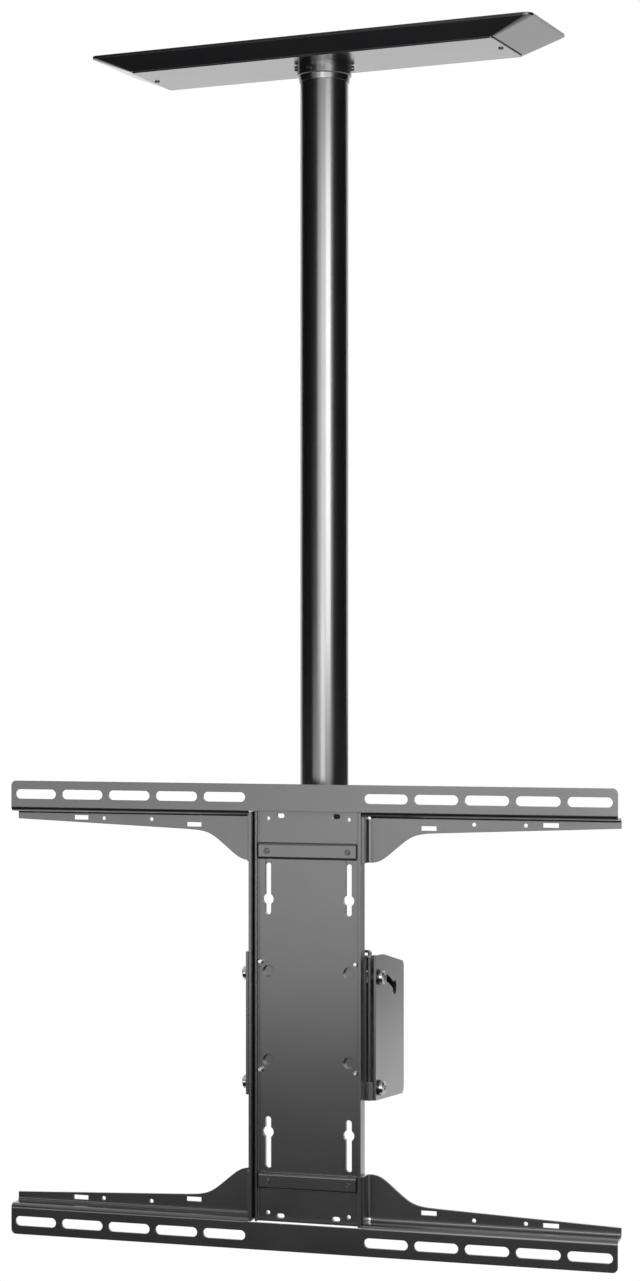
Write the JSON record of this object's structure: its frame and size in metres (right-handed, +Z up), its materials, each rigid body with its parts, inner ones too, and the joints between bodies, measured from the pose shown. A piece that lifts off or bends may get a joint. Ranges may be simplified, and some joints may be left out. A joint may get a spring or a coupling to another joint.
{
  "type": "tv ceiling mount",
  "caption": "Ceiling mount with a round column, a sloped ceiling cover, and a tilting head of nested channels with slotted crossbars for a display.",
  "frame": {"origin": "centre of the ceiling plate's top face, on the column's axis", "axes": "+Z up along the column, +X right and -Y towards the viewer of the display at rest"},
  "size_m": [0.618, 0.1606, 1.1913],
  "materials": {
    "black_powder_coat": "satin powder coat",
    "zinc_plated_steel": "bright zinc",
    "black_oxide_steel": "black oxide",
    "black_nylon": "matt"
  },
  "bodies": {
    "ceiling": {"ceiling_plate": "black_powder_coat", "cover_posts": "zinc_plated_steel", "cover_shell": "black_powder_coat", "cover_panel": "black_powder_coat", "cover_screws": "black_oxide_steel", "column_collar": "black_powder_coat", "collar_side_screws": "black_oxide_steel", "collar_lock_screw": "black_oxide_steel"},
    "column": {"column_tube": "black_powder_coat", "neck_bushing": "black_nylon", "neck_tube": "black_powder_coat", "neck_bolt": "zinc_plated_steel", "neck_bolt_washers": "zinc_plated_steel", "neck_bolt_nut": "zinc_plated_steel", "column_box": "black_powder_coat", "wall_spacers": "black_nylon", "screw_washers": "black_oxide_steel", "pivot_screws": "zinc_plated_steel", "swing_screws": "zinc_plated_steel", "box_nuts": "zinc_plated_steel"},
    "head": {"tilt_bracket": "black_powder_coat", "tilt_side_plate_right": "black_powder_coat", "tilt_side_plate_left": "black_powder_coat", "outer_channel": "black_powder_coat", "inner_channel": "black_powder_coat", "clamp_bar_upper": "black_powder_coat", "clamp_bar_lower": "black_powder_coat", "clamp_bar_screws": "black_oxide_steel", "clamp_bar_nuts": "zinc_plated_steel", "corner_screws": "zinc_plated_steel", "corner_nuts": "zinc_plated_steel", "crossbar_upper": "black_powder_coat", "crossbar_lower": "black_powder_coat"}
  },
  "joints": [
    {"name": "column_swivel", "type": "hinge", "parent": "ceiling", "child": "column", "pos_m": [0, 0, 0], "axis": [0, 0, 1], "range_deg": [-180, 180]},
    {"name": "head_tilt", "type": "hinge", "parent": "column", "child": "head", "pos_m": [0, -0.036, -1.0319], "axis": [1, 0, 0], "range_deg": [0, 32.5]}
  ]
}
